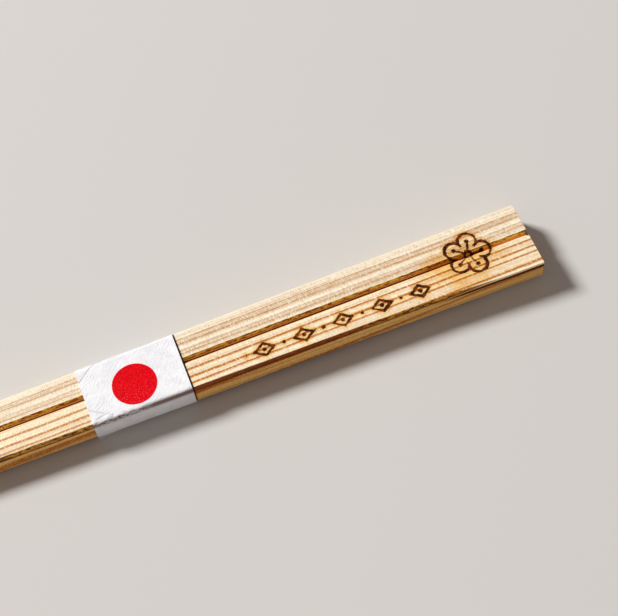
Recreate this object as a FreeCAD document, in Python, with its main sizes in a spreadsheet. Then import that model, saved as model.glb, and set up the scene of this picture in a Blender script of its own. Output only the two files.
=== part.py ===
import FreeCAD, Part
import math
import os
import Sketcher

os.makedirs("parts", exist_ok=True)

# A pair of disposable chopsticks, not yet snapped apart, in a glued paper band.
# X runs along the sticks, with the butt at +X and the tips at -X. Y goes across the pair and Z is up.
# The origin is under the middle of the length, on the plane that the band lies on.

# Driving dimensions in millimetres: name, value, what it measures
SIZES = (
    ("stick_length", 203.0, "butt to tips"),
    ("butt_width", 12.0, "both sticks together at the butt"),
    ("tip_width", 7.6, "both sticks together at the tips"),
    ("butt_height", 4.3, "thickness at the butt"),
    ("tip_height", 3.2, "thickness at the tips"),
    ("edge_chamfer", 0.55, "planed off the four long outer edges"),
    ("groove_width", 1.15, "mouth of the V groove between the sticks"),
    ("groove_depth", 0.7, "depth of the V groove"),
    ("slit_width", 0.2, "cut that parts the sticks, from the tips to the web"),
    ("web_length", 9.0, "wood left whole at the butt"),
    ("tip_bevel", 0.35, "edge broken all round the ends of the tips"),
    ("band_start", 57.4, "butt to the nearer edge of the band"),
    ("band_width", 15.7, "width of the paper strip, along the sticks"),
    ("paper", 0.15, "thickness of one ply of paper"),
    ("band_fit", 0.04, "room between wood and paper, at the sides and on top"),
    ("lap_inset_tips", 0.15, "side of the band to the free end of the lap, at the edge nearer the tips"),
    ("lap_inset_butt", 1.7, "the same at the edge nearer the butt: the lap is glued on a little askew"),
    ("disc_diameter", 6.95, "printed disc"),
    ("disc_shift", 0.85, "middle of the disc to the middle of the pair, towards -Y"),
    ("ink", 0.02, "height of the printed ink"),
)

doc = FreeCAD.newDocument("DisposableChopsticks")
sheet = doc.addObject("Spreadsheet::Sheet", "Sizes")
for row, (name, value, note) in enumerate(SIZES, start=1):
    sheet.set("A%d" % row, name)
    sheet.set("B%d" % row, str(value))
    sheet.set("C%d" % row, note)
    sheet.setAlias("B%d" % row, name)
doc.recompute()


# Formulas. "run" is a distance from the tips towards the butt.

def tapered(at_tips, at_butt, run):
    return "(%s + (%s - %s) * (%s) / Sizes.stick_length)" % (at_tips, at_butt, at_tips, run)


def half_width(run):
    return tapered("Sizes.tip_width", "Sizes.butt_width", run) + " / 2"


def height(run):
    return tapered("Sizes.tip_height", "Sizes.butt_height", run)


def station(run):
    return "%s - Sizes.stick_length / 2" % run


WOOD_UNDERSIDE = "2 * Sizes.paper"
BAND_TIPS_EDGE = "(Sizes.stick_length - Sizes.band_start - Sizes.band_width)"
BAND_BUTT_EDGE = "(Sizes.stick_length - Sizes.band_start)"
BAND_MIDDLE = "(Sizes.stick_length - Sizes.band_start - Sizes.band_width / 2)"
PAPER_SIDE = "Sizes.band_fit + Sizes.paper"
# The ply keeps its thickness over the chamfer
PAPER_CHAMFER = "(Sizes.edge_chamfer + Sizes.paper * (2 - sqrt(2)))"


# Sketches

def new_sketch(body, name, role):
    sketch = body.newObject("Sketcher::SketchObject", name)
    plane = next(feature for feature in body.Origin.OriginFeatures if feature.Role == role)
    sketch.AttachmentSupport = [(plane, "")]
    sketch.MapMode = "FlatFace"
    return sketch


def draw_outline(sketch, corners):
    # A closed run of straight lines. Each corner is held by a formula along each of the sketch's axes.
    start, end, origin = 1, 2, -1
    count = len(corners)
    rough = [FreeCAD.Vector(math.cos(turn), math.sin(turn), 0)
             for turn in (2 * math.pi * number / count for number in range(count))]
    for number in range(count):
        sketch.addGeometry(Part.LineSegment(rough[number], rough[(number + 1) % count]), False)
    for number in range(count):
        following = (number + 1) % count
        sketch.addConstraint(Sketcher.Constraint("Coincident", number, end, following, start))
    for number, formulas in enumerate(corners):
        for kind, formula, value in zip(("DistanceX", "DistanceY"), formulas, rough[number]):
            index = sketch.addConstraint(Sketcher.Constraint(kind, origin, start, number, start, value))
            sketch.setExpression("Constraints[%d]" % index, formula)


def cross_section(body, name, run, corners):
    sketch = new_sketch(body, name, "YZ_Plane")
    sketch.setExpression("AttachmentOffset.Base.z", station(run))
    draw_outline(sketch, corners)
    return sketch


# Features

def loft(body, kind, name, sections):
    feature = body.newObject("PartDesign::" + kind, name)
    feature.Profile = sections[0]
    feature.Sections = sections[1:]
    feature.Ruled = True
    body.Tip = feature
    doc.recompute()
    return feature


# Chopstick pair

def stick_section(body, name, run, inset="0"):
    # One stick, from the middle of the pair to its chamfered outer side. The inset draws all its faces in.
    side = "%s - %s" % (half_width(run), inset)
    shoulder = "%s - Sizes.edge_chamfer" % side
    mouth = "Sizes.groove_width / 2 * (1 - %s / Sizes.groove_depth)" % inset
    bottom = "%s + %s" % (WOOD_UNDERSIDE, inset)
    top = "%s + %s - %s" % (WOOD_UNDERSIDE, height(run), inset)
    return cross_section(body, name, run, (
        ("0", "%s + Sizes.groove_depth" % WOOD_UNDERSIDE),
        (mouth, bottom),
        (shoulder, bottom),
        (side, "%s + Sizes.edge_chamfer" % bottom),
        (side, "%s - Sizes.edge_chamfer" % top),
        (shoulder, top),
        (mouth, top),
        ("0", "%s + %s - Sizes.groove_depth" % (WOOD_UNDERSIDE, height(run))),
    ))


def cut_slit(body):
    # Freed from the tips up to the web that still joins the sticks
    sketch = new_sketch(body, "SlitOutline", "XY_Plane")
    past_tips = "-Sizes.stick_length / 2 - Sizes.slit_width"
    web = "Sizes.stick_length / 2 - Sizes.web_length"
    edge = "Sizes.slit_width / 2"
    draw_outline(sketch, ((past_tips, "-" + edge), (web, "-" + edge), (web, edge), (past_tips, edge)))
    slit = body.newObject("PartDesign::Pocket", "Slit")
    slit.Profile = sketch
    slit.Type = "ThroughAll"
    slit.Reversed = True
    body.Tip = slit
    doc.recompute()
    return slit


def make_chopstick_pair():
    body = doc.addObject("PartDesign::Body", "ChopstickPair")
    body.Label = "chopstick_pair"
    doc.recompute()
    sections = [
        stick_section(body, "TipEnd", "0", inset="Sizes.tip_bevel"),
        stick_section(body, "TipShoulder", "Sizes.tip_bevel"),
        stick_section(body, "ButtEnd", "Sizes.stick_length"),
    ]
    stick = loft(body, "AdditiveLoft", "Stick", sections)
    pair = body.newObject("PartDesign::Mirrored", "BothSticks")
    pair.Originals = [stick]
    plane = next(feature for feature in body.Origin.OriginFeatures if feature.Role == "XZ_Plane")
    pair.MirrorPlane = (plane, [""])
    body.Tip = pair
    doc.recompute()
    uncut = pair.Shape.Volume
    slit = cut_slit(body)
    if slit.Shape.Volume >= uncut:
        raise RuntimeError("the slit cut nothing")
    return body


# Paper band

def wrap_section(body, name, run):
    # Outside of the paper: one ply, and a second under the far half, where the lap starts
    side = "%s + %s" % (half_width(run), PAPER_SIDE)
    shoulder = "%s - %s" % (side, PAPER_CHAMFER)
    top = "%s + %s + %s" % (WOOD_UNDERSIDE, height(run), PAPER_SIDE)
    top_edge = "%s - %s" % (top, PAPER_CHAMFER)
    return cross_section(body, name, run, (
        ("-(%s)" % side, "Sizes.paper + %s" % PAPER_CHAMFER),
        ("-(%s)" % shoulder, "Sizes.paper"),
        ("0", "Sizes.paper"),
        ("0", "0"),
        (shoulder, "0"),
        (side, PAPER_CHAMFER),
        (side, top_edge),
        (shoulder, top),
        ("-(%s)" % shoulder, top),
        ("-(%s)" % side, top_edge),
    ))


def opening_section(body, name, run):
    # Inside of the paper, which the wood lies on
    side = "%s + Sizes.band_fit" % half_width(run)
    shoulder = "%s - Sizes.edge_chamfer" % side
    top = "%s + %s + Sizes.band_fit" % (WOOD_UNDERSIDE, height(run))
    top_edge = "%s - Sizes.edge_chamfer" % top
    bottom_edge = "%s + Sizes.edge_chamfer" % WOOD_UNDERSIDE
    return cross_section(body, name, run, (
        ("-(%s)" % side, bottom_edge),
        ("-(%s)" % shoulder, WOOD_UNDERSIDE),
        (shoulder, WOOD_UNDERSIDE),
        (side, bottom_edge),
        (side, top_edge),
        (shoulder, top),
        ("-(%s)" % shoulder, top),
        ("-(%s)" % side, top_edge),
    ))


def add_lap(body):
    # The end of the strip, glued over the first ply. Its free edge runs askew, out to the near side.
    sketch = new_sketch(body, "LapOutline", "XY_Plane")
    tips_edge = station(BAND_TIPS_EDGE)
    butt_edge = station(BAND_BUTT_EDGE)
    draw_outline(sketch, (
        (tips_edge, "Sizes.lap_inset_tips - (%s + %s)" % (half_width(BAND_TIPS_EDGE), PAPER_SIDE)),
        (butt_edge, "Sizes.lap_inset_butt - (%s + %s)" % (half_width(BAND_BUTT_EDGE), PAPER_SIDE)),
        (butt_edge, "0"),
        (tips_edge, "0"),
    ))
    lap = body.newObject("PartDesign::Pad", "Lap")
    lap.Profile = sketch
    lap.setExpression("Length", "Sizes.paper")
    body.Tip = lap
    doc.recompute()
    return lap


def add_disc(body):
    # The ink stands on the sloping top of the paper, and is rooted half a ply down in it
    sketch = new_sketch(body, "DiscOutline", "XY_Plane")
    slope = "atan((Sizes.butt_height - Sizes.tip_height) / Sizes.stick_length)"
    paper_top = "%s + %s + %s" % (WOOD_UNDERSIDE, height(BAND_MIDDLE), PAPER_SIDE)
    leaning = FreeCAD.Rotation(FreeCAD.Vector(0, -1, 0), 1)
    sketch.AttachmentOffset = FreeCAD.Placement(FreeCAD.Vector(), leaning)
    sketch.setExpression("AttachmentOffset.Rotation.Angle", slope)
    sketch.setExpression("AttachmentOffset.Base.x", station(BAND_MIDDLE))
    sketch.setExpression("AttachmentOffset.Base.y", "-Sizes.disc_shift")
    sketch.setExpression("AttachmentOffset.Base.z", "%s - Sizes.paper / 2" % paper_top)
    centre = FreeCAD.Vector()
    sketch.addGeometry(Part.Circle(centre, FreeCAD.Vector(0, 0, 1), 1), False)
    sketch.addConstraint(Sketcher.Constraint("Coincident", 0, 3, -1, 1))
    diameter = sketch.addConstraint(Sketcher.Constraint("Diameter", 0, 2))
    sketch.setExpression("Constraints[%d]" % diameter, "Sizes.disc_diameter")
    disc = body.newObject("PartDesign::Pad", "Disc")
    disc.Profile = sketch
    disc.setExpression("Length", "Sizes.paper / 2 + Sizes.ink")
    body.Tip = disc
    doc.recompute()
    return disc


def make_paper_band():
    body = doc.addObject("PartDesign::Body", "PaperBand")
    body.Label = "paper_band"
    doc.recompute()
    loft(body, "AdditiveLoft", "Wrap", [
        wrap_section(body, "WrapTipsEdge", BAND_TIPS_EDGE),
        wrap_section(body, "WrapButtEdge", BAND_BUTT_EDGE),
    ])
    add_lap(body)
    disc = add_disc(body)
    closed = disc.Shape.Volume
    opening = loft(body, "SubtractiveLoft", "Opening", [
        opening_section(body, "OpeningTipsEdge", BAND_TIPS_EDGE),
        opening_section(body, "OpeningButtEdge", BAND_BUTT_EDGE),
    ])
    if opening.Shape.Volume >= closed:
        raise RuntimeError("the band was not opened")
    return body


pieces = (make_chopstick_pair(), make_paper_band())
doc.recompute()

for item in doc.Objects:
    if "Invalid" in item.State or "Error" in item.State:
        raise RuntimeError("%s failed: %s" % (item.Label, item.State))
for piece in pieces:
    if piece.Shape.isNull() or not piece.Shape.isValid() or len(piece.Shape.Solids) != 1:
        raise RuntimeError("%s is not one valid solid" % piece.Label)
for piece in pieces:
    piece.Shape.exportStep("parts/%s.step" % piece.Label)
    print(piece.Label, "volume", round(piece.Shape.Volume, 2), "mm3, faces", len(piece.Shape.Faces))
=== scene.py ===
import math

import bmesh
import bpy
from mathutils import Matrix, Vector, noise


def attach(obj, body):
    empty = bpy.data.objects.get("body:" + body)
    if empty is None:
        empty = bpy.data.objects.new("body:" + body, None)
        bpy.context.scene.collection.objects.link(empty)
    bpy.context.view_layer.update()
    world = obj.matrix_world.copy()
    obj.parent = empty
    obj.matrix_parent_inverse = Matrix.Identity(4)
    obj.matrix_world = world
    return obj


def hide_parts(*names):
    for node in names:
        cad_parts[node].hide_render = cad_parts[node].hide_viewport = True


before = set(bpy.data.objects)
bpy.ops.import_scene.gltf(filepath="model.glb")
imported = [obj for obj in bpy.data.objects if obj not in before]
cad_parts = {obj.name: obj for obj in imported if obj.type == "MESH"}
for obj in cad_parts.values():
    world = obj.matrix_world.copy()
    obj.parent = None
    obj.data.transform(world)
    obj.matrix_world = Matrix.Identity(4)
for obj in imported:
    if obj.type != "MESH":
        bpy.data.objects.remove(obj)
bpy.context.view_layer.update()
mm = 0.001  # meshes are worked in millimetres and brought to metres at the end
scene = bpy.context.scene


# Node helpers

def feed(tree, socket, value):
    # a socket is linked, anything else is set as the socket's own value
    if isinstance(value, bpy.types.NodeSocket):
        tree.links.new(value, socket)
    elif value is not None:
        socket.default_value = value


def calc(tree, operation, first, second=None, third=None, clamp=False):
    node = tree.nodes.new("ShaderNodeMath")
    node.operation = operation
    node.use_clamp = clamp
    for socket, value in zip(node.inputs, (first, second, third)):
        feed(tree, socket, value)
    return node.outputs[0]


def plus(tree, first, second):
    return calc(tree, "ADD", first, second)


def minus(tree, first, second):
    return calc(tree, "SUBTRACT", first, second)


def times(tree, first, second):
    return calc(tree, "MULTIPLY", first, second)


def unsigned(tree, value):
    return calc(tree, "ABSOLUTE", value)


def lengthOf(tree, first, second):
    # of a flat vector
    return calc(tree, "SQRT", plus(tree, calc(tree, "POWER", first, 2.0), calc(tree, "POWER", second, 2.0)))


def vectorCalc(tree, operation, first, second=None, scale=None):
    node = tree.nodes.new("ShaderNodeVectorMath")
    node.operation = operation
    feed(tree, node.inputs[0], first)
    feed(tree, node.inputs[1], second)
    feed(tree, node.inputs[3], scale)
    return node.outputs["Value" if operation in ("DISTANCE", "DOT_PRODUCT") else "Vector"]


def split(tree, vector):
    node = tree.nodes.new("ShaderNodeSeparateXYZ")
    feed(tree, node.inputs[0], vector)
    return node.outputs


def joinAxes(tree, x, y, z):
    node = tree.nodes.new("ShaderNodeCombineXYZ")
    for socket, value in zip(node.inputs, (x, y, z)):
        feed(tree, socket, value)
    return node.outputs[0]


def mixColour(tree, factor, first, second, blend="MIX"):
    node = tree.nodes.new("ShaderNodeMix")
    node.data_type = "RGBA"
    node.blend_type = blend
    feed(tree, node.inputs["Factor"], factor)
    feed(tree, node.inputs["A"], first)
    feed(tree, node.inputs["B"], second)
    return next(socket for socket in node.outputs if socket.type == "RGBA")


def mixValue(tree, factor, first, second):
    node = tree.nodes.new("ShaderNodeMix")
    node.data_type = "FLOAT"
    feed(tree, node.inputs["Factor"], factor)
    feed(tree, node.inputs["A"], first)
    feed(tree, node.inputs["B"], second)
    return node.outputs["Result"]


def fade(tree, value, start, end, low=0.0, high=1.0, smooth=True):
    # from low at start to high at end, by a smooth step or in a straight line
    node = tree.nodes.new("ShaderNodeMapRange")
    node.interpolation_type = "SMOOTHSTEP" if smooth else "LINEAR"
    feed(tree, node.inputs["Value"], value)
    for name, number in (("From Min", start), ("From Max", end), ("To Min", low), ("To Max", high)):
        feed(tree, node.inputs[name], number)
    return node.outputs["Result"]


def tone(red, green, blue):
    # screen values 0 to 255, made linear
    def linear(value):
        value /= 255
        return value / 12.92 if value <= 0.04045 else ((value + 0.055) / 1.055) ** 2.4
    return (linear(red), linear(green), linear(blue), 1.0)


def newGroup(name, inputs, outputs):
    group = bpy.data.node_groups.new(name, "ShaderNodeTree")
    for label, kind in inputs:
        group.interface.new_socket(name=label, in_out="INPUT", socket_type=kind)
    for label, kind in outputs:
        group.interface.new_socket(name=label, in_out="OUTPUT", socket_type=kind)
    return group, group.nodes.new("NodeGroupInput").outputs, group.nodes.new("NodeGroupOutput").inputs


def place(tree, group, **values):
    node = tree.nodes.new("ShaderNodeGroup")
    node.node_tree = group
    for name, value in values.items():
        feed(tree, node.inputs[name], value)
    return node.outputs


def newMaterial(name):
    material = bpy.data.materials.new(name)
    material.use_nodes = True
    tree = material.node_tree
    return material, tree, tree.nodes["Principled BSDF"]


# Effects shared by wood and paper

def makeFibreGroup():
    # noise drawn out along the sticks, given as how many fibres there are to a millimetre each way
    group, given, result = newGroup(
        "drawnOutFibre",
        (("Place", "NodeSocketVector"), ("Stretch", "NodeSocketVector"), ("Detail", "NodeSocketFloat")),
        (("Value", "NodeSocketFloat"),))
    texture = group.nodes.new("ShaderNodeTexNoise")
    texture.inputs["Scale"].default_value = 1.0
    texture.inputs["Roughness"].default_value = 0.55
    feed(group, texture.inputs["Vector"], vectorCalc(group, "MULTIPLY", given["Place"], given["Stretch"]))
    feed(group, texture.inputs["Detail"], given["Detail"])
    feed(group, result["Value"], texture.outputs["Fac"])
    return group


def makeMillimetreGroup():
    # object coordinates in millimetres, and the face's own direction
    group, given, result = newGroup(
        "millimetres", (), (("Place", "NodeSocketVector"), ("Facing", "NodeSocketVector")))
    source = group.nodes.new("ShaderNodeTexCoord")
    feed(group, result["Place"], vectorCalc(group, "SCALE", source.outputs["Object"], scale=1 / mm))
    feed(group, result["Facing"], source.outputs["Normal"])
    return group


fibre = makeFibreGroup()
millimetres = makeMillimetreGroup()


def surfacePlace(tree):
    # where a point of the surface is and which way it faces
    source = place(tree, millimetres)
    at = {"spot": source["Place"]}
    at["x"], at["y"], at["z"] = split(tree, source["Place"])
    at["facingX"], at["facingY"], at["facingZ"] = split(tree, source["Facing"])
    return at


def grain(tree, spot, stretch, detail=2.0):
    return place(tree, fibre, Place=spot, Stretch=stretch, Detail=detail)[0]


def wobble(tree, spot, stretch, size, detail=2.0):
    # grain that swings to both sides of nought
    return times(tree, minus(tree, grain(tree, spot, stretch, detail), 0.5), size)


def addRelief(tree, shader, layers):
    # each layer is a pattern and how many millimetres it stands out
    relief = 0.0
    for pattern, height in layers:
        relief = calc(tree, "MULTIPLY_ADD", pattern, height, relief)
    bump = tree.nodes.new("ShaderNodeBump")
    bump.inputs["Strength"].default_value = 0.8
    bump.inputs["Distance"].default_value = mm
    feed(tree, bump.inputs["Height"], relief)
    feed(tree, shader.inputs["Normal"], bump.outputs["Normal"])


def finishPiece(bm, name, node, material):
    mesh = bpy.data.meshes.new(name)
    bm.to_mesh(mesh)
    bm.free()
    mesh.polygons.foreach_set("use_smooth", [True] * len(mesh.polygons))
    piece = bpy.data.objects.new(name, mesh)
    scene.collection.objects.link(piece)
    mesh.materials.append(material)
    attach(piece, "root")
    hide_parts(node)
    return piece


# Chopstick pair

chopsticks = {
    "length": 203.0,        # butt to tips
    "buttWidth": 12.0,      # both sticks
    "tipWidth": 7.6,
    "buttHeight": 4.3,
    "tipHeight": 3.2,
    "underside": 0.3,       # two plies of paper lift the wood
    "chamfer": 0.55,
    "grooveWidth": 1.15,
    "grooveDepth": 0.7,
    "slitWidth": 0.2,
    "webLength": 9.0,
    "tipBevel": 0.35,
    "buttChamfer": 0.04,    # the near upper chamfer runs out at the butt: share of its full width left there
    "easedFrom": 4.0,       # it starts to widen this far on
    "easedTo": 21.0,        # and has its full width here
    "arris": 0.06,          # softened edge
    "arrisWear": 0.05,      # how far wear draws the edges in
    "stationGap": 0.45,     # between the rings of points along the sticks
}


def widthAt(run):
    c = chopsticks
    return c["tipWidth"] + (c["buttWidth"] - c["tipWidth"]) * run / c["length"]


def heightAt(run):
    c = chopsticks
    return c["tipHeight"] + (c["buttHeight"] - c["tipHeight"]) * run / c["length"]


def taper(bm):
    # the butt's section is drawn in towards the tips, which leaves groove and chamfers as wide as they were
    c = chopsticks
    for vert in bm.verts:
        run = vert.co.x + c["length"] / 2
        if vert.co.y > 2:
            vert.co.y -= (c["buttWidth"] - widthAt(run)) / 2
        if vert.co.z > c["underside"] + c["buttHeight"] / 2:
            vert.co.z -= c["buttHeight"] - heightAt(run)


def easeNearChamfer(bm):
    # points round the near upper corner are gathered towards it
    c = chopsticks
    reach = c["chamfer"] + 2 * c["arris"]
    for vert in bm.verts:
        run = vert.co.x + c["length"] / 2
        fromButt = c["length"] - run
        corner = Vector((vert.co.x, -widthAt(run) / 2, c["underside"] + heightAt(run)))
        offset = vert.co - corner
        if fromButt < c["easedTo"] and offset.y < reach and offset.z > -reach:
            share = max(0.0, (fromButt - c["easedFrom"]) / (c["easedTo"] - c["easedFrom"]))
            share *= share * (3 - 2 * share)
            vert.co = corner + offset * (c["buttChamfer"] + (1 - c["buttChamfer"]) * share)


def wearEdges(bm):
    # arrises are nicked and drawn in by a few hundredths of a millimetre
    c = chopsticks
    bm.normal_update()
    worn = [vert for vert in bm.verts
            if any(edge.calc_face_angle(0) > math.radians(8) for edge in vert.link_edges)
            and abs(vert.co.y) > c["slitWidth"]]
    shifts = []
    for vert in worn:
        x, y, z = vert.co
        long = noise.noise(Vector((x * 0.35, y * 0.8, z * 0.8 + 5)))
        short = noise.noise(Vector((x * 1.9, y * 1.5 + 3, z * 1.5)))
        nick = max(0.0, noise.noise(Vector((x * 0.8 + 40, y * 0.6, z * 0.6))) - 0.35)
        shifts.append(c["arrisWear"] * (0.5 + 0.5 * long + 0.35 * short + 1.2 * nick))
    for vert, shift in zip(worn, shifts):
        vert.co -= vert.normal * max(0.0, shift)


def pushOn(bm, faces, distance):
    # faces are drawn out along the sticks, towards the tips, and the new ones are given back
    drawn = bmesh.ops.extrude_face_region(bm, geom=faces)["geom"]
    ends = [item for item in drawn if isinstance(item, bmesh.types.BMVert)]
    bmesh.ops.translate(bm, verts=ends, vec=(-distance, 0, 0))
    return [item for item in drawn if isinstance(item, bmesh.types.BMFace)]


def bevelEdges(bm, edges, offset, segments):
    bmesh.ops.bevel(bm, geom=edges, offset=offset, offset_type="OFFSET", segments=segments, profile=0.5,
                    affect="EDGES", material=-1)


def cutBlank(bm):
    # half of the butt's section, drawn out to the tips, tapered and mirrored
    c = chopsticks
    half, low, depth = c["length"] / 2, c["underside"], c["grooveDepth"]
    mouth, side, slit = c["grooveWidth"] / 2, c["buttWidth"] / 2, c["slitWidth"] / 2
    shoulder, top = side - c["chamfer"], low + c["buttHeight"]
    atSlit = depth * (1 - slit / mouth)
    outline = [bm.verts.new((half, y, z)) for y, z in (
        (slit, low + atSlit), (mouth, low), (shoulder, low), (side, low + c["chamfer"]),
        (side, top - c["chamfer"]), (shoulder, top), (mouth, top), (slit, top - atSlit))]
    centre = [bm.verts.new((half, 0, z)) for z in (low + depth, top - depth)]
    stickEnd = bm.faces.new(outline)
    webEnd = bm.faces.new((centre[0], outline[0], outline[-1], centre[1]))
    # both run as far as the web goes, and the stick alone goes on to the tips
    cut = max(pushOn(bm, [stickEnd, webEnd], c["webLength"]), key=lambda face: len(face.verts))
    pushOn(bm, [cut], c["length"] - c["webLength"])
    if cut.is_valid:
        bmesh.ops.delete(bm, geom=[cut], context="FACES_ONLY")
    taper(bm)
    tipEdges = [edge for edge in bm.edges
                if all(vert.co.x < 0.01 - half for vert in edge.verts)
                and any(vert.co.y > 1.5 * slit for vert in edge.verts)]
    bevelEdges(bm, tipEdges, c["tipBevel"], 1)
    inside = [face for face in bm.faces if all(abs(vert.co.y) < 0.001 for vert in face.verts)]
    bmesh.ops.delete(bm, geom=inside, context="FACES")
    bmesh.ops.mirror(bm, geom=bm.verts[:] + bm.edges[:] + bm.faces[:], matrix=Matrix.Identity(4),
                     merge_dist=0.001, axis="Y")
    bmesh.ops.recalc_face_normals(bm, faces=bm.faces[:])


def softenEdges(bm):
    c = chopsticks
    half = c["length"] / 2
    arrises = [edge for edge in bm.edges
               if len(edge.link_faces) == 2 and edge.is_convex and edge.calc_face_angle(0) > math.radians(20)
               and all(abs(vert.co.y) > 0.75 * c["slitWidth"] for vert in edge.verts)]
    bevelEdges(bm, arrises, c["arris"], 2)
    stations = int(c["length"] / c["stationGap"])
    for number in range(1, stations):
        bmesh.ops.bisect_plane(bm, geom=bm.verts[:] + bm.edges[:] + bm.faces[:], dist=0.001,
                               plane_co=(half - number * c["length"] / stations, 0, 0), plane_no=(1, 0, 0))
    easeNearChamfer(bm)
    wearEdges(bm)


def makeChopstickPair():
    bm = bmesh.new()
    print("chopstick pair: cutting the blank")
    cutBlank(bm)
    print("chopstick pair: softening and wearing the edges")
    softenEdges(bm)
    bmesh.ops.scale(bm, vec=(mm, mm, mm), verts=bm.verts)
    piece = finishPiece(bm, "chopstick_pair_wood", "chopstick_pair", woodMaterial())
    flat = piece.modifiers.new("flatFaces", "WEIGHTED_NORMAL")
    flat.keep_sharp = True


# Wood

wood = {
    # how dark the growth is across the butt, from the near side to the far one: place and strength
    "nearSpan": (-9.0, 0.6),
    "nearGrowth": ((-8.0, 0), (-7.6, 0.7), (-7.48, 0), (-6.7, 0), (-6.3, 0.7), (-6.18, 0), (-5.6, 0),
                   (-5.08, 0.95), (-4.9, 0), (-3.9, 0), (-3.47, 0.85), (-3.32, 0), (-2.9, 0), (-2.45, 1.0),
                   (-2.28, 0), (-1.6, 0), (-1.2, 1.0), (-1.05, 0), (-0.22, 0), (-0.05, 0.65), (0.04, 0)),
    "farSpan": (0.6, 9.0),
    "farGrowth": ((0.95, 0), (1.02, 0.2), (1.1, 0), (1.3, 0.1), (1.58, 0.42), (1.67, 0.85), (1.76, 0.32),
                  (2.15, 0.3), (2.32, 0.62), (2.4, 0), (3.0, 0.05), (3.25, 0.4), (3.38, 0.95), (3.47, 0.4),
                  (3.95, 0.35), (4.15, 0.8), (4.25, 0.1), (4.9, 0), (5.45, 0.3), (5.62, 0.9), (5.7, 0.2),
                  (6.1, 0.2), (6.3, 0.8), (6.4, 0), (7.0, 0.6), (7.1, 0)),
    "drift": 0.0085,        # the grain leaves the sticks' own line by this much
    "tilt": 0.35,           # growth lines lean over by this much on their way down
    "rayLean": 0.18,        # rows of rays slant by this much
    "rayTurn": 21.0,        # how close the rays are, in radians to a millimetre
    "nearPale": tone(252, 240, 206),
    "farPale": tone(252, 243, 218),
    "nearLate": tone(192, 118, 16),
    "farLate": tone(186, 130, 58),
    "tick": tone(184, 116, 60),
    # flecks, and the painted highlight on the far upper chamfer
    "fleckAndHighlight": tone(255, 251, 236),
    # the groove's colours, for its far slope turned from the light: painted shade over the planed wood's own
    # brown
    "groove": tone(255, 208, 72),
    "grooveDark": tone(156, 64, 0),
    "grooveDeepShade": tone(236, 104, 2),
    # painted shade in the slit
    "slit": tone(78, 28, 4),
    # the near chamfer's colours, under painted shade
    "slope": tone(172, 74, 0),
    "slopeMiddle": tone(244, 174, 50),
    "slopeButt": tone(248, 222, 178),
    "slopeDark": tone(120, 58, 4),
    # painted highlight along the top of the near side by the butt
    "rimHighlight": tone(255, 238, 204),
    "litSlope": tone(229, 227, 219),
    # painted shadow line under that highlight
    "underRimShadow": tone(70, 18, 0),
    # the near side's tone carries painted shade; the far side's is lighter
    "side": tone(255, 217, 152),
    "farSide": tone(250, 238, 218),
    "end": tone(214, 170, 116),
    "pore": tone(140, 96, 54),
    # painted shadow of the paper's edge on the wood
    "bandEdgeShadow": tone(84, 38, 22),
    "burnt": tone(50, 14, 2),
    "singed": tone(130, 54, 10),
    "scorch": tone(244, 206, 106),
    # burnt ornaments: petals are circles round points at their reach from the eye
    "blossom": {"x": 91.4, "y": 0.1, "petal": 1.42, "reach": 2.3, "petalFoot": 0.62, "stroke": 0.2,
                "eye": 0.55, "stamenThin": 0.08, "stamenShort": 0.3, "knob": 0.12},
    "lozenges": {"start": 19.5, "pitch": 6.4, "count": 5, "y": -3.05, "halfLength": 1.5, "halfHeight": 1.05,
                 "stroke": 0.19, "dot": 0.3, "spacer": 0.05, "pastLast": 0.45},
}


def lineRamp(tree, value, stops, span):
    # a growth line darkens slowly and ends sharply, as latewood does
    start, end = span
    node = tree.nodes.new("ShaderNodeValToRGB")
    ramp = node.color_ramp
    ramp.elements.remove(ramp.elements[0])
    ramp.elements[0].position = 0.0
    ramp.elements[0].color = (0, 0, 0, 1)
    for where, strength in stops:
        stop = ramp.elements.new((where - start) / (end - start))
        stop.color = (strength, strength, strength, 1)
    feed(tree, node.inputs["Fac"], fade(tree, value, start, end, smooth=False))
    return node.outputs["Color"]


def blossomShape(tree, x, y):
    # five round petals, an eye and five stamens, as how far outside their strokes the place is
    b = wood["blossom"]
    acrossX = minus(tree, x, b["x"])
    acrossY = minus(tree, y, b["y"])
    radius = lengthOf(tree, acrossX, acrossY)
    fifth = 2 * math.pi / 5
    folded = calc(tree, "WRAP", calc(tree, "ARCTAN2", acrossY, acrossX), fifth / 2, -fifth / 2)
    along = times(tree, radius, calc(tree, "COSINE", folded))
    aside = times(tree, radius, calc(tree, "SINE", folded))
    fromPetal = lengthOf(tree, minus(tree, along, b["reach"]), aside)
    petal = unsigned(tree, minus(tree, fromPetal, b["petal"]))
    petal = calc(tree, "MAXIMUM", petal, minus(tree, b["petalFoot"] * b["reach"] + b["stroke"], along))
    eye = unsigned(tree, minus(tree, radius, b["eye"]))
    between = unsigned(tree, minus(tree, along, 0.5 * (b["eye"] + b["reach"])))
    between = minus(tree, between, 0.5 * (b["reach"] - b["eye"]) - b["stamenShort"])
    stamen = calc(tree, "MAXIMUM", plus(tree, unsigned(tree, aside), b["stamenThin"]), between)
    knob = minus(tree, fromPetal, b["knob"])
    nearest = calc(tree, "MINIMUM", calc(tree, "MINIMUM", petal, eye), calc(tree, "MINIMUM", stamen, knob))
    return minus(tree, nearest, b["stroke"])


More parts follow.
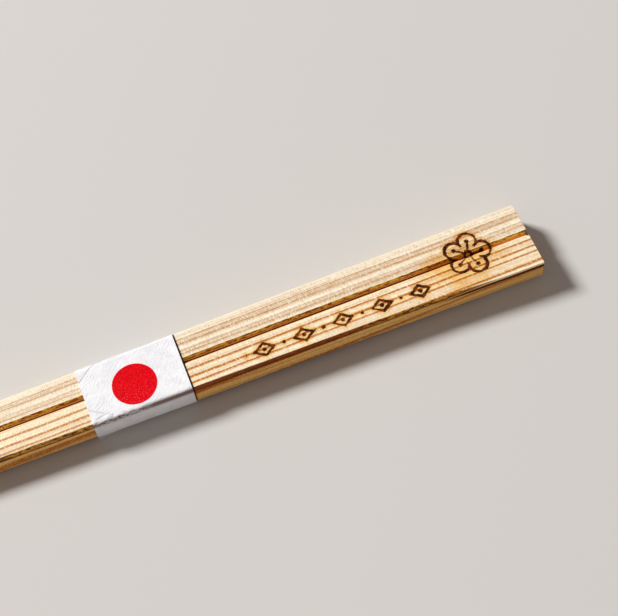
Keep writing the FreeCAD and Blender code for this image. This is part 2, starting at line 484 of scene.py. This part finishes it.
def lozengeShape(tree, x, y):
    # a row of open lozenges with a dot in each, and a dot between them
    row = wood["lozenges"]
    run = minus(tree, chopsticks["length"] / 2 - row["start"], x)
    step = calc(tree, "WRAP", run, row["pitch"] / 2, -row["pitch"] / 2)
    up = minus(tree, y, row["y"])
    height, width = row["halfHeight"], row["halfLength"]
    norm = height * width / math.hypot(height, width)
    edge = plus(tree, calc(tree, "DIVIDE", unsigned(tree, step), width),
                calc(tree, "DIVIDE", unsigned(tree, up), height))
    lozenge = unsigned(tree, times(tree, minus(tree, edge, 1.0), norm))
    dot = minus(tree, lengthOf(tree, step, up), row["dot"] - row["stroke"])
    aside = minus(tree, unsigned(tree, step), row["pitch"] / 2)
    spacer = minus(tree, lengthOf(tree, aside, up), row["spacer"])
    nearest = calc(tree, "MINIMUM", lozenge, calc(tree, "MINIMUM", dot, spacer))
    middle = row["pitch"] * (row["count"] - 1) / 2
    fromMiddle = unsigned(tree, minus(tree, run, middle))
    beyond = minus(tree, fromMiddle, middle + row["pitch"] * row["pastLast"])
    return calc(tree, "MAXIMUM", minus(tree, nearest, row["stroke"]), beyond)


def woodPlace(tree):
    # the surface, which planed face a point is on, and the grain that colour and relief share
    c = chopsticks
    at = surfacePlace(tree)
    at["fromButt"] = minus(tree, c["length"] / 2, at["x"])
    at["aside"] = unsigned(tree, at["y"])
    at["near"] = fade(tree, at["y"], 0.3, -0.3)
    at["outer"] = fade(tree, at["aside"], 2.0, 2.4)
    at["farUpper"] = times(tree, fade(tree, at["y"], 2.0, 2.4), fade(tree, at["z"], 2.2, 2.6))
    leaning = unsigned(tree, times(tree, at["facingY"], at["facingZ"]))
    at["slopes"] = mixValue(tree, at["outer"], fade(tree, leaning, 0.14, 0.34),
                            fade(tree, leaning, 0.3, 0.45))
    at["sides"] = fade(tree, unsigned(tree, at["facingY"]), 0.85, 0.97)
    at["ends"] = fade(tree, unsigned(tree, at["facingX"]), 0.5, 0.8)
    # nought at a chamfer's lower edge, and below nought further in
    narrowing = (c["buttWidth"] - c["tipWidth"]) / 2 / c["length"]
    fromMiddle = calc(tree, "MULTIPLY_ADD", at["fromButt"], narrowing, at["aside"])
    at["pastChamfer"] = minus(tree, fromMiddle, c["buttWidth"] / 2)
    at["streak"] = grain(tree, at["spot"], (0.05, 7.0, 7.0), 3.0)
    at["mottle"] = grain(tree, at["spot"], (1.1, 3.2, 3.2), 4.0)
    at["pores"] = grain(tree, at["spot"], (0.4, 9.0, 9.0), 3.0)
    # rows of rays slant a little, so their grain is sheared
    lean = joinAxes(tree, times(tree, at["y"], wood["rayLean"]), 0.0, 0.0)
    at["slanted"] = vectorCalc(tree, "ADD", at["spot"], lean)
    at["ticks"] = grain(tree, at["slanted"], (5.2, 1.7, 1.7))
    return at


def growthLines(tree, at):
    # they run straight through the blank, so they meet the ends, sides and slopes where they should
    w, c = wood, chopsticks
    swing = wobble(tree, at["spot"], (0.02, 0.1, 0.1), 0.7)
    waver = wobble(tree, at["spot"], (0.16, 0.7, 0.7), 0.16)
    ragged = wobble(tree, at["spot"], (1.3, 3.0, 3.0), 0.09)
    across = calc(tree, "MULTIPLY_ADD", at["fromButt"], w["drift"], at["y"])
    fromTop = minus(tree, at["z"], c["underside"] + c["buttHeight"])
    across = calc(tree, "MULTIPLY_ADD", fromTop, w["tilt"], across)
    across = plus(tree, across, plus(tree, swing, plus(tree, waver, ragged)))
    nearRings = fade(tree, lineRamp(tree, across, w["nearGrowth"], w["nearSpan"]), 0.1, 0.75)
    farRings = lineRamp(tree, across, w["farGrowth"], w["farSpan"])
    return plus(tree, nearRings, farRings), fade(tree, across, 0.4, 0.7)


def cutRays(tree, at):
    # rays cut through by the plane: fine, nearly even marks across the grain, in rows
    evenly = times(tree, split(tree, at["slanted"])[0], wood["rayTurn"])
    uneven = calc(tree, "MULTIPLY_ADD", grain(tree, at["spot"], (0.5, 0.8, 0.8)), 9.0, evenly)
    rays = fade(tree, calc(tree, "SINE", uneven), 0.35, 0.95)
    return times(tree, rays, fade(tree, grain(tree, at["spot"], (0.5, 2.2, 2.2)), 0.44, 0.6))


def planedFaces(tree, at, rings, late, isFar):
    # growth lines over pale wood, with streaks, rays and flecks
    w = wood
    pale = mixColour(tree, isFar, w["nearPale"], w["farPale"])
    broad = grain(tree, at["spot"], (0.02, 1.5, 1.5))
    colour = mixColour(tree, fade(tree, broad, 0.42, 0.72, 0.0, 0.3), pale, late)
    strength = calc(tree, "MULTIPLY", rings, fade(tree, at["streak"], 0.25, 0.6, 0.8, 1.2), clamp=True)
    strength = times(tree, strength, fade(tree, at["fromButt"], 56.0, 74.0, 1.0, 0.82))
    colour = mixColour(tree, strength, colour, late)
    colour = mixColour(tree, fade(tree, at["streak"], 0.48, 0.75, 0.0, 0.36), colour, late)
    specks = fade(tree, at["ticks"], 0.53, 0.67, 0.0, 0.42)
    specks = calc(tree, "MAXIMUM", specks, times(tree, cutRays(tree, at), 0.4))
    specks = calc(tree, "MULTIPLY", specks, calc(tree, "MULTIPLY_ADD", rings, 0.9, 0.75), clamp=True)
    colour = mixColour(tree, specks, colour, w["tick"])
    return mixColour(tree, fade(tree, at["ticks"], 0.46, 0.3, 0.0, 0.55), colour, w["fleckAndHighlight"])


def grooveColour(tree, at, patches):
    w = wood
    colour = mixColour(tree, patches, w["grooveDark"], w["groove"])
    # deeper towards the slit: painted shade at the groove's bottom
    return mixColour(tree, fade(tree, at["aside"], 0.36, 0.12, 0.0, 0.8), colour, w["grooveDeepShade"])


def chamferColour(tree, at, patches):
    # the near chamfer's colour under painted shade: pale at the butt, reddest between there and the band,
    # with a painted shadow line along the lower edge
    w, fromButt = wood, at["fromButt"]
    planed = mixColour(tree, fade(tree, fromButt, 6.0, 15.0), w["slopeButt"], w["slopeMiddle"])
    reddened = times(tree, fade(tree, fromButt, 24.0, 34.0), fade(tree, fromButt, 74.0, 62.0))
    planed = mixColour(tree, reddened, planed, w["slope"])
    clean = calc(tree, "MAXIMUM", patches, fade(tree, fromButt, 18.0, 8.0))
    colour = mixColour(tree, clean, w["slopeDark"], planed)
    return mixColour(tree, fade(tree, at["pastChamfer"], -0.25, -0.1, 0.0, 0.75), colour, w["slopeDark"])


def planedSlopes(tree, at, colour):
    # slopes that turn from the light are darker by painted shade, and rougher and darker still in patches
    w = wood
    patches = plus(tree, times(tree, at["mottle"], 0.65), times(tree, at["streak"], 0.35))
    patches = fade(tree, patches, 0.44, 0.55)
    # a painted highlight pales the far upper chamfer, which faces the light
    farEdgeHighlight = times(tree, fade(tree, at["pastChamfer"], -0.8, -0.55, 0.0, 0.6), at["farUpper"])
    colour = mixColour(tree, farEdgeHighlight, colour, w["fleckAndHighlight"])
    # the deeper slope colours go on the slopes turned from the light, the near chamfers and the groove's far
    # slope: painted shade
    share = mixValue(tree, at["outer"], fade(tree, at["near"], 0.0, 1.0, 0.97, 0.1),
                     fade(tree, at["near"], 0.0, 1.0, 0.02, 0.96))
    slope = mixColour(tree, at["outer"], grooveColour(tree, at, patches), chamferColour(tree, at, patches))
    colour = mixColour(tree, times(tree, at["slopes"], share), colour, slope)
    # the far upper chamfer faces the light, and a deeper tone keeps its grain in sight
    return mixColour(tree, times(tree, at["slopes"], at["farUpper"]), colour, w["litSlope"], "MULTIPLY")


def flatSides(tree, at, colour, late):
    # a few lines wander along the flat-grown sides
    w = wood
    wander = times(tree, at["z"], 5.2)
    wander = calc(tree, "MULTIPLY_ADD", grain(tree, at["spot"], (0.03, 0.3, 0.3)), 22.0, wander)
    lines = fade(tree, calc(tree, "SINE", wander), 0.55, 1.0)
    lines = times(tree, lines, fade(tree, at["streak"], 0.35, 0.6, 0.3, 0.6))
    lines = times(tree, lines, fade(tree, at["fromButt"], 2.0, 9.0, 0.35, 1.0))
    colour = mixColour(tree, times(tree, lines, at["sides"]), colour, late)
    # the near side, turned from the light, takes a deeper, warmer tone than the far side: painted shade
    shadeTint = mixColour(tree, at["near"], w["farSide"], w["side"])
    return mixColour(tree, at["sides"], colour, shadeTint, "MULTIPLY")


def chamferEnd(tree, at, colour):
    # where the near chamfer runs out, a painted highlight lays a pale rim along the top of the side, with a
    # painted shadow line under it
    w, c = wood, chopsticks
    sinking = (c["tipHeight"] - c["buttHeight"]) / c["length"]
    drop = minus(tree, c["underside"] + c["buttHeight"], at["z"])
    drop = calc(tree, "MULTIPLY_ADD", at["fromButt"], sinking, drop)
    alongSide = times(tree, at["near"], fade(tree, at["pastChamfer"], -0.3, -0.14))
    alongSide = times(tree, alongSide, fade(tree, unsigned(tree, at["facingX"]), 0.6, 0.3))
    rimHighlight = times(tree, fade(tree, drop, 0.5, 0.34), fade(tree, at["fromButt"], 13.0, 5.0, 0.0, 0.9))
    colour = mixColour(tree, times(tree, alongSide, rimHighlight), colour, w["rimHighlight"])
    line = fade(tree, unsigned(tree, minus(tree, drop, 0.86)), 0.38, 0.22)
    line = times(tree, line, fade(tree, at["fromButt"], 20.0, 12.0))
    return mixColour(tree, times(tree, line, alongSide), colour, w["underRimShadow"])


def sawnEnds(tree, at, colour):
    w = wood
    sawn = mixColour(tree, 1.0, colour, w["end"], "MULTIPLY")
    sawn = mixColour(tree, fade(tree, at["pores"], 0.5, 0.7, 0.0, 0.6), sawn, w["pore"])
    return mixColour(tree, at["ends"], colour, sawn)


def paintedShadeLines(tree, at, colour):
    # painted shade darkens the slit down to the web, and a painted shadow of the paper's edge lies as a dark
    # line on the wood
    w, c = wood, chopsticks
    slitShade = fade(tree, at["fromButt"], c["webLength"] - 1.0, c["webLength"] + 0.2)
    slitShade = times(tree, fade(tree, at["aside"], 0.12, 0.095), slitShade)
    colour = mixColour(tree, slitShade, colour, w["slit"])
    # painted shadow of the paper's edge, fainter on the far side
    fromEdge = unsigned(tree, minus(tree, at["x"], c["length"] / 2 - band["start"] + 0.1))
    edgeShadow = fade(tree, fromEdge, 0.27, 0.12, 0.0, 0.9)
    edgeShadow = times(tree, edgeShadow, fade(tree, at["y"], 4.9, 5.3, 1.0, 0.25))
    return mixColour(tree, edgeShadow, colour, w["bandEdgeShadow"])


def burntOrnament(tree, at, colour):
    # on the upper side only, pressed unevenly, and scorched furthest round the blossom
    w, spot = wood, at["spot"]
    b = w["blossom"]
    upper = fade(tree, at["z"], 2.6, 2.9)
    press = grain(tree, spot, (0.35, 0.35, 0.1))
    frayed = wobble(tree, spot, (2.0, 2.6, 0.5), 0.42, 3.0)
    frayed = plus(tree, frayed, fade(tree, press, 0.3, 0.7, 0.07, -0.1))
    shape = calc(tree, "MINIMUM", blossomShape(tree, at["x"], at["y"]), lozengeShape(tree, at["x"], at["y"]))
    shape = plus(tree, shape, frayed)
    burn = times(tree, fade(tree, shape, 0.08, -0.06), upper)
    scorch = times(tree, fade(tree, shape, 0.8, 0.0, 0.0, 0.75), upper)
    fromBlossom = vectorCalc(tree, "DISTANCE", vectorCalc(tree, "MULTIPLY", spot, (0.75, 1.0, 0.0)),
                             (0.75 * (b["x"] - 1.5), b["y"] - 0.6, 0.0))
    glow = plus(tree, fromBlossom, times(tree, minus(tree, press, 0.5), 5.0))
    glow = plus(tree, glow, fade(tree, at["y"], 0.2, 2.5, 0.0, 1.2))
    glow = times(tree, fade(tree, glow, 6.4, 2.5, 0.0, 0.75), upper)
    colour = mixColour(tree, calc(tree, "MAXIMUM", scorch, glow), colour, w["scorch"], "MULTIPLY")
    uneven = fade(tree, grain(tree, spot, (1.3, 1.3, 0.3)), 0.42, 0.66, 0.0, 0.8)
    char = mixColour(tree, uneven, w["burnt"], w["singed"])
    return mixColour(tree, burn, colour, char), burn


def woodMaterial():
    w = wood
    material, tree, shader = newMaterial("softwood")
    at = woodPlace(tree)
    rings, isFar = growthLines(tree, at)
    late = mixColour(tree, isFar, w["nearLate"], w["farLate"])
    colour = planedFaces(tree, at, rings, late, isFar)
    colour = planedSlopes(tree, at, colour)
    colour = flatSides(tree, at, colour, late)
    colour = chamferEnd(tree, at, colour)
    colour = sawnEnds(tree, at, colour)
    colour = paintedShadeLines(tree, at, colour)
    colour, burn = burntOrnament(tree, at, colour)
    feed(tree, shader.inputs["Base Color"], colour)

    rough = fade(tree, at["streak"], 0.3, 0.7, 0.55, 0.7)
    rough = plus(tree, rough, times(tree, at["slopes"], 0.12))
    rough = calc(tree, "ADD", rough, times(tree, burn, 0.1), clamp=True)
    feed(tree, shader.inputs["Roughness"], rough)
    shader.inputs["Specular IOR Level"].default_value = 0.12

    torn = times(tree, minus(tree, at["mottle"], 0.5), at["slopes"])
    sawn = times(tree, minus(tree, at["pores"], 0.5), at["ends"])
    addRelief(tree, shader, ((at["streak"], 0.03), (rings, 0.012), (at["ticks"], -0.035), (torn, 0.12),
                             (sawn, 0.06), (burn, -0.07)))
    return material


# Paper band

band = {
    "start": 57.4,          # butt to the nearer edge
    "width": 15.7,
    "ply": 0.15,
    "sheet": 0.11,          # the sheet alone is thinner than a ply with its glue and air
    "fit": 0.04,
    "fold": 0.8,            # radius of the folds
    "foldSteps": 5,
    "innerEnd": 4.2,        # where the strip starts, under the far stick
    "lapInsetTips": 0.15,
    "lapInsetButt": 1.7,
    "columns": 64,
    "rows": (14, 2, 12, 2, 46, 2, 12, 2, 26),  # over each straight, from the inner end round to the lap
    "discDiameter": 6.95,
    "discShift": 0.85,
    "ripple": 0.008,        # how far the slack sheet leaves its line, all over
    "foldCrumple": 0.085,   # along the near fold
    "grooveDip": 0.03,      # over the groove
    "buttLift": 0.08,       # at the edge towards the butt
    "nearFold": -4.9,       # where the crumpled fold lies
    "upperFrom": 3.2,       # the upper side starts at this height
}


def foldLine(corners, radius, steps, rows):
    # a line through the corners in which each corner is an arc and each straight has its number of points
    points = []
    started = Vector(corners[0])
    for number in range(1, len(corners)):
        here = Vector(corners[number])
        arc = []
        if number < len(corners) - 1:
            back = (Vector(corners[number - 1]) - here).normalized()
            ahead = (Vector(corners[number + 1]) - here).normalized()
            half = back.angle(ahead) / 2
            reach = radius / math.tan(half)
            centre = here + (back + ahead).normalized() * radius / math.sin(half)
            arm = here + back * reach - centre
            sweep = arm.angle_signed(here + ahead * reach - centre)
            for step in range(steps + 1):
                arc.append(centre + Matrix.Rotation(-sweep * step / steps, 2) @ arm)
        ended = arc[0] if arc else here
        for step in range(rows[number - 1]):
            points.append(started.lerp(ended, step / rows[number - 1]))
        points += arc[:-1]
        started = arc[-1] if arc else here
    return points + [started]


def bandLine(run, lapInset):
    # outside of the strip: under the sticks, up the near side, over the top, down the far side, under again
    b = band
    side = widthAt(run) / 2 + b["fit"] + b["ply"]
    top = chopsticks["underside"] + heightAt(run) + b["fit"] + b["ply"]
    cut = chopsticks["chamfer"] + b["ply"] * (2 - math.sqrt(2))
    corners = ((b["innerEnd"], b["ply"]), (cut - side, b["ply"]), (-side, b["ply"] + cut),
               (-side, top - cut), (cut - side, top), (side - cut, top), (side, top - cut), (side, cut),
               (side - cut, 0.0), (lapInset - side, 0.0))
    return foldLine(corners, b["fold"], b["foldSteps"], b["rows"])


def crumple(bm):
    # a slack sheet lifts at the edge towards the butt, dips over the groove and is crumpled at the near fold
    b = band
    bm.normal_update()
    buttEdge = chopsticks["length"] / 2 - b["start"]
    moves = []
    for vert in bm.verts:
        x, y, z = vert.co
        fromEdge = (buttEdge - x) / b["width"]
        move = b["ripple"] * noise.noise(Vector((x * 0.5, y * 0.5, z * 0.5)))
        if z > b["upperFrom"]:
            nearFold = math.exp(-((y - b["nearFold"]) / 0.7) ** 2)
            nearFold *= min(1.0, max(0.0, (fromEdge - 0.3) * 2.5))
            move += nearFold * b["foldCrumple"] * noise.turbulence(Vector((x * 1.4, y * 1.6, z)), 3, False)
            move -= b["grooveDip"] * math.exp(-(y / 0.45) ** 2)
            move += b["buttLift"] * math.exp(-((buttEdge - x) / 0.8) ** 2) * max(0.0, 1 - (y / 5.4) ** 4)
        moves.append(move)
    for vert, move in zip(bm.verts, moves):
        vert.co += vert.normal * move
        vert.co.z = max(0.0, vert.co.z)


def makePaperBand():
    print("paper band: winding the strip")
    b = band
    buttRun = chopsticks["length"] - b["start"]
    tipsLine = bandLine(buttRun - b["width"], b["lapInsetTips"])
    buttLine = bandLine(buttRun, b["lapInsetButt"])
    rows = len(buttLine) - 1
    bm = bmesh.new()
    bmesh.ops.create_grid(bm, x_segments=b["columns"], y_segments=rows, size=0.5)
    for vert in bm.verts:
        along = vert.co.x + 0.5
        row = round((vert.co.y + 0.5) * rows)
        across = tipsLine[row].lerp(buttLine[row], along)
        vert.co = (buttRun - chopsticks["length"] / 2 - b["width"] * (1 - along), across.x, across.y)
    bm.normal_update()
    topFace = max(bm.faces, key=lambda face: face.calc_center_median().z)
    if topFace.normal.z < 0:
        bmesh.ops.reverse_faces(bm, faces=bm.faces[:])
    crumple(bm)
    bmesh.ops.scale(bm, vec=(mm, mm, mm), verts=bm.verts)
    bmesh.ops.solidify(bm, geom=bm.faces[:], thickness=b["sheet"] * mm)
    piece = finishPiece(bm, "paper_band_strip", "paper_band", paperMaterial())
    piece.data.set_sharp_from_angle(angle=math.radians(40))


# Paper

paper = {
    "white": tone(245, 246, 249),
    "fibre": tone(218, 220, 225),
    "red": tone(232, 0, 20),
    "redDeep": tone(206, 0, 10),
    "pink": tone(250, 108, 122),
    # painted shade on the folds
    "paintedFoldShade": tone(126, 100, 90),
    # painted shade in the pressed creases
    "crease": tone(196, 194, 200),
    "litSide": tone(230, 228, 224),
    "strokeTurn": -38,      # short strokes lie askew in the sheet by this many degrees
    # pressed creases on the upper side: start, end and width
    "creases": (((31.8, -4.6), (28.6, -2.5), 0.14), ((34.2, 5.5), (30.8, 4.4), 0.2),
                ((30.8, 4.4), (28.4, 2.5), 0.2), ((31.6, -3.9), (29.2, -4.3), 0.12)),
}


def makeCreaseGroup():
    # one in the middle of a straight crease, and nought at its width from there
    group, given, result = newGroup(
        "pressedCrease",
        (("Place", "NodeSocketVector"), ("Start", "NodeSocketVector"), ("Line", "NodeSocketVector"),
         ("Width", "NodeSocketFloat")),
        (("Value", "NodeSocketFloat"),))
    flat = vectorCalc(group, "MULTIPLY", given["Place"], (1.0, 1.0, 0.0))
    arm = vectorCalc(group, "SUBTRACT", flat, given["Start"])
    share = calc(group, "DIVIDE", vectorCalc(group, "DOT_PRODUCT", arm, given["Line"]),
                 vectorCalc(group, "DOT_PRODUCT", given["Line"], given["Line"]), clamp=True)
    nearest = vectorCalc(group, "SCALE", given["Line"], scale=share)
    distance = calc(group, "DIVIDE", vectorCalc(group, "DISTANCE", arm, nearest), given["Width"])
    feed(group, result["Value"], calc(group, "SUBTRACT", 1.0, distance, clamp=True))
    return group


creaseLine = makeCreaseGroup()


def looseFibre(tree, spot, stretch, thin):
    # thin curling lines, where the noise is near its middle value
    line = unsigned(tree, minus(tree, grain(tree, spot, stretch, 1.0), 0.5))
    return fade(tree, line, thin, 0.0)


def foldShade(tree, at, crumpled, crumbs):
    # painted shade darkens the folds, less on the lower ones, and is broken up where they are crumpled
    bend = unsigned(tree, times(tree, at["facingY"], at["facingZ"]))
    folds = plus(tree, fade(tree, bend, 0.15, 0.48, 0.0, 0.35), fade(tree, bend, 0.42, 0.505, 0.0, 0.65))
    broken = fade(tree, crumbs, 0.35, 0.6, 0.95, 0.35)
    folds = times(tree, folds, mixValue(tree, crumpled, 0.9, broken))
    return times(tree, folds, fade(tree, at["z"], 2.0, 2.6, 0.2, 1.0))


def printedDisc(tree, at, tooth):
    # the ink's edge follows the paper's tooth, and the white shows through where the ink is thin
    p, b = paper, band
    middle = chopsticks["length"] / 2 - b["start"] - b["width"] / 2
    radius = b["discDiameter"] / 2
    fromMiddle = lengthOf(tree, minus(tree, at["x"], middle), plus(tree, at["y"], b["discShift"]))
    bleed = times(tree, minus(tree, tooth, 0.5), 0.14)
    inDisc = fade(tree, plus(tree, fromMiddle, bleed), radius + 0.05, radius - 0.05)
    ink = times(tree, inDisc, fade(tree, at["facingZ"], 0.3, 0.6))
    clouded = fade(tree, grain(tree, at["spot"], (3.2, 3.2, 3.2), 3.0), 0.46, 0.6)
    red = mixColour(tree, clouded, p["red"], p["redDeep"])
    bare = fade(tree, grain(tree, at["spot"], (5.4, 5.4, 5.4)), 0.57, 0.7)
    bare = times(tree, bare, fade(tree, at["y"], 0.0, -3.6, 0.2, 0.75))
    return ink, mixColour(tree, bare, red, p["pink"])


def pressedCreases(tree, at, cloud):
    creases = 0.0
    for start, end, width in paper["creases"]:
        mark = place(tree, creaseLine, Place=at["spot"], Start=(start[0], start[1], 0.0),
                     Line=(end[0] - start[0], end[1] - start[1], 0.0), Width=width)
        creases = calc(tree, "MAXIMUM", creases, mark[0])
    creases = times(tree, creases, fade(tree, at["facingZ"], 0.2, 0.6))
    return times(tree, creases, fade(tree, cloud, 0.35, 0.6, 0.6, 1.0))


def askewStrokes(tree, spot):
    turned = tree.nodes.new("ShaderNodeVectorRotate")
    turned.rotation_type = "Z_AXIS"
    turned.inputs["Angle"].default_value = math.radians(paper["strokeTurn"])
    feed(tree, turned.inputs["Vector"], spot)
    return grain(tree, turned.outputs[0], (1.1, 4.4, 2.0))


def paperMaterial():
    p = paper
    material, tree, shader = newMaterial("washiPaper")
    at = surfacePlace(tree)
    spot = at["spot"]
    cloud = grain(tree, spot, (0.6, 0.6, 0.6), 3.0)
    tooth = grain(tree, spot, (5.0, 5.0, 5.0), 3.0)
    crumbs = grain(tree, spot, (2.4, 3.2, 3.2), 3.0)
    crumpled = fade(tree, at["x"], 38.5, 35.5)  # only towards the tips
    # loose fibres show where the cloud behind them is dense
    fibres = calc(tree, "MAXIMUM", looseFibre(tree, spot, (0.9, 1.6, 1.3), 0.012),
                  looseFibre(tree, spot, (1.9, 1.0, 1.4), 0.014))
    fibres = times(tree, fibres, fade(tree, cloud, 0.4, 0.6))

    colour = mixColour(tree, fade(tree, cloud, 0.35, 0.7, 0.0, 0.3), p["white"], p["fibre"])
    colour = mixColour(tree, fade(tree, tooth, 0.52, 0.7, 0.0, 0.5), colour, p["fibre"])
    colour = mixColour(tree, times(tree, fibres, 0.35), colour, p["fibre"])
    folds = foldShade(tree, at, crumpled, crumbs)
    # painted shade on the folds, strongest on the near side
    shadeTint = times(tree, folds, fade(tree, at["y"], 1.0, -1.0, 0.3, 1.0))
    colour = mixColour(tree, shadeTint, colour, p["paintedFoldShade"])
    ink, red = printedDisc(tree, at, tooth)
    colour = mixColour(tree, ink, colour, red)
    creases = pressedCreases(tree, at, cloud)
    # the creases are painted a shade greyer as well as pressed in: painted shade
    colour = mixColour(tree, times(tree, creases, 0.5), colour, p["crease"])
    # the far side faces the light, and a deeper tone keeps its fibres in sight
    litSide = fade(tree, at["facingY"], 0.25, 0.65)
    feed(tree, shader.inputs["Base Color"], mixColour(tree, litSide, colour, p["litSide"], "MULTIPLY"))
    feed(tree, shader.inputs["Roughness"], mixValue(tree, ink, 0.78, 0.55))
    shader.inputs["Specular IOR Level"].default_value = 0.04

    torn = times(tree, times(tree, folds, crumpled), crumbs)
    addRelief(tree, shader, ((tooth, 0.09), (askewStrokes(tree, spot), 0.085), (cloud, 0.04), (fibres, 0.012),
                             (ink, 0.02), (creases, -0.07), (torn, 0.2)))
    return material


# Studio

studio = {
    "floor": tone(206, 204, 200),
    "floorSize": 14.0,
    "floorDrop": 0.00003,                 # the floor lies this far below the band
    "light": (1.0, 0.84, 0.76, 1.0),      # what the room gives back
    "lightStrength": 0.22,
    "backdrop": (0.62, 0.61, 0.59, 1.0),  # what the camera sees past the floor
    "keyFrom": (-1.75, 1.8, 1.85),
    "keyPower": 140.0,
    "keySize": 0.8,
    "fillFrom": (0.9, -1.8, 1.2),
    "fillPower": 3.0,
    "fillSize": 1.6,
    "sensor": 36.0,
    "lens": 82.85,
    "cameraAt": (0.03898, -0.10576, 0.19315),
    "cameraAxes": ((0.93095143, 0.34492052, -0.11983015), (-0.35772919, 0.79574309, -0.48869495),
                   (-0.0732069, 0.49781801, 0.86418631)),
}


def makeFloor():
    bm = bmesh.new()
    bmesh.ops.create_grid(bm, x_segments=1, y_segments=1, size=studio["floorSize"] / 2)
    bmesh.ops.translate(bm, verts=bm.verts, vec=(0, 0, -studio["floorDrop"]))
    mesh = bpy.data.meshes.new("floor")
    bm.to_mesh(mesh)
    bm.free()
    floor = bpy.data.objects.new("floor", mesh)
    scene.collection.objects.link(floor)
    material, tree, shader = newMaterial("floorPaint")
    feed(tree, shader.inputs["Base Color"], studio["floor"])
    feed(tree, shader.inputs["Roughness"], 0.9)
    mesh.materials.append(material)


def areaLight(name, at, power, size):
    data = bpy.data.lights.new(name, "AREA")
    data.shape = "DISK"
    data.size = size
    data.energy = power
    light = bpy.data.objects.new(name, data)
    light.location = at
    light.rotation_euler = Vector(at).to_track_quat("Z", "Y").to_euler()
    scene.collection.objects.link(light)


def makeRoom():
    # the room lights the piece, and the camera sees the backdrop in its place
    world = bpy.data.worlds.new("studio")
    world.use_nodes = True
    tree = world.node_tree
    room = tree.nodes["Background"]
    room.inputs["Color"].default_value = studio["light"]
    room.inputs["Strength"].default_value = studio["lightStrength"]
    backdrop = tree.nodes.new("ShaderNodeBackground")
    backdrop.inputs["Color"].default_value = studio["backdrop"]
    seen = tree.nodes.new("ShaderNodeLightPath")
    both = tree.nodes.new("ShaderNodeMixShader")
    tree.links.new(seen.outputs["Is Camera Ray"], both.inputs["Fac"])
    tree.links.new(room.outputs[0], both.inputs[1])
    tree.links.new(backdrop.outputs[0], both.inputs[2])
    tree.links.new(both.outputs[0], tree.nodes["World Output"].inputs["Surface"])
    scene.world = world


def makeCamera():
    lens = bpy.data.cameras.new("camera")
    lens.sensor_width = studio["sensor"]
    lens.lens = studio["lens"]
    lens.clip_start = 0.01
    camera = bpy.data.objects.new("camera", lens)
    camera.location = studio["cameraAt"]
    camera.rotation_euler = Matrix(studio["cameraAxes"]).to_euler()
    scene.collection.objects.link(camera)
    scene.camera = camera


def makeStudio():
    print("studio: floor, lights and camera")
    makeFloor()
    makeRoom()
    areaLight("key", studio["keyFrom"], studio["keyPower"], studio["keySize"])
    areaLight("fill", studio["fillFrom"], studio["fillPower"], studio["fillSize"])
    makeCamera()
    scene.view_settings.view_transform = "Standard"
    scene.view_settings.look = "None"


makeChopstickPair()
makePaperBand()
makeStudio()
